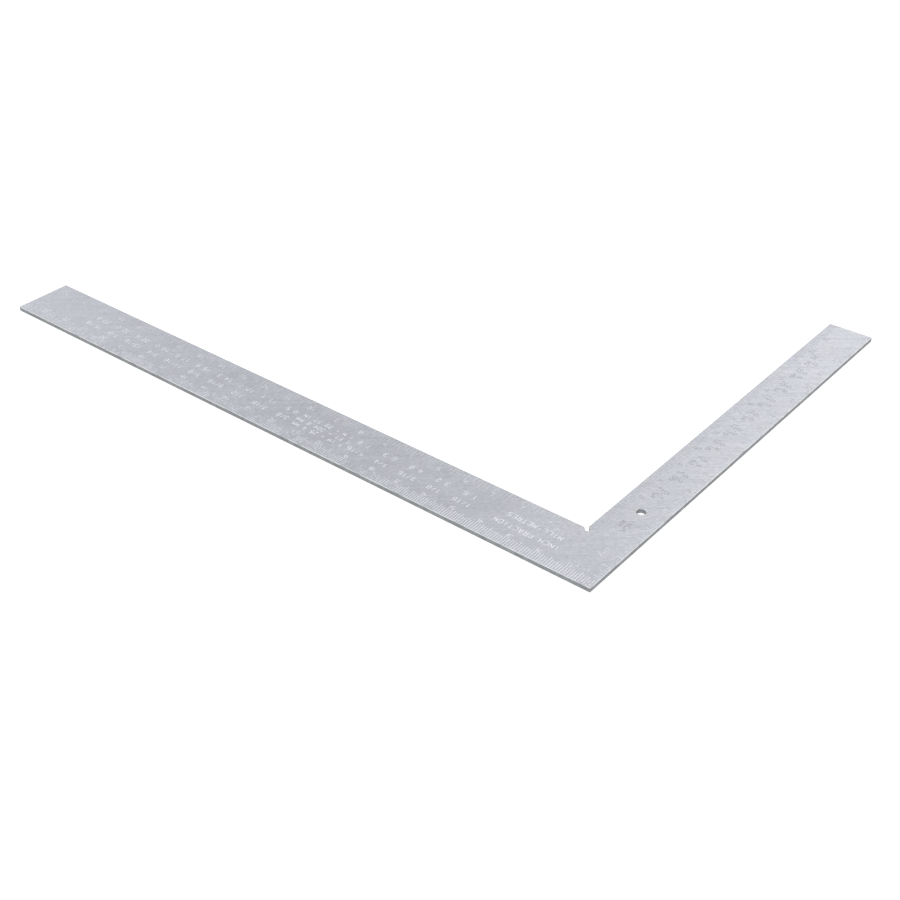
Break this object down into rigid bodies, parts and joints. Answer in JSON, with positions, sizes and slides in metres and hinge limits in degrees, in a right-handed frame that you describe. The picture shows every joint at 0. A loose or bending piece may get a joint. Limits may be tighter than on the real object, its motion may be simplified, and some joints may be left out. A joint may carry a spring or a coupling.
{
  "type": "steel square",
  "caption": "Flat L-shaped steel square: a long blade and a shorter tongue at a right angle, graduated along every edge on both faces, with a hang hole and a relieved inner corner.",
  "frame": {"origin": "outer corner of the heel, where the outer edges of blade and tongue meet, on the underside", "axes": "-X from the heel along the blade's outer edge, +Y from the heel along the tongue's outer edge, +Z out of the upper face"},
  "size_m": [0.6096, 0.4064, 0.004],
  "materials": {
    "steel": "satin ground steel with a fine grain that runs diagonally across both legs",
    "enamel": "matte pale enamel"
  },
  "bodies": {
    "root": {"plate": "steel", "blade_heading": "enamel", "blade_inner_eighths": "enamel", "blade_inner_numerals": "enamel", "blade_note": "enamel", "blade_outer_numerals": "enamel", "blade_outer_twelfths": "enamel", "blade_table": "enamel", "fraction_labels": "enamel", "tongue_inner_numerals": "enamel", "tongue_inner_tenths": "enamel", "tongue_outer_numerals": "enamel", "tongue_outer_twelfths": "enamel", "tongue_table": "enamel", "under_blade_inner_eighths": "enamel", "under_blade_inner_numerals": "enamel", "under_blade_outer_numerals": "enamel", "under_blade_outer_sixteenths": "enamel", "under_fraction_labels": "enamel", "under_tongue_inner_eighths": "enamel", "under_tongue_inner_numerals": "enamel", "under_tongue_outer_numerals": "enamel", "under_tongue_outer_sixteenths": "enamel"}
  },
  "joints": []
}
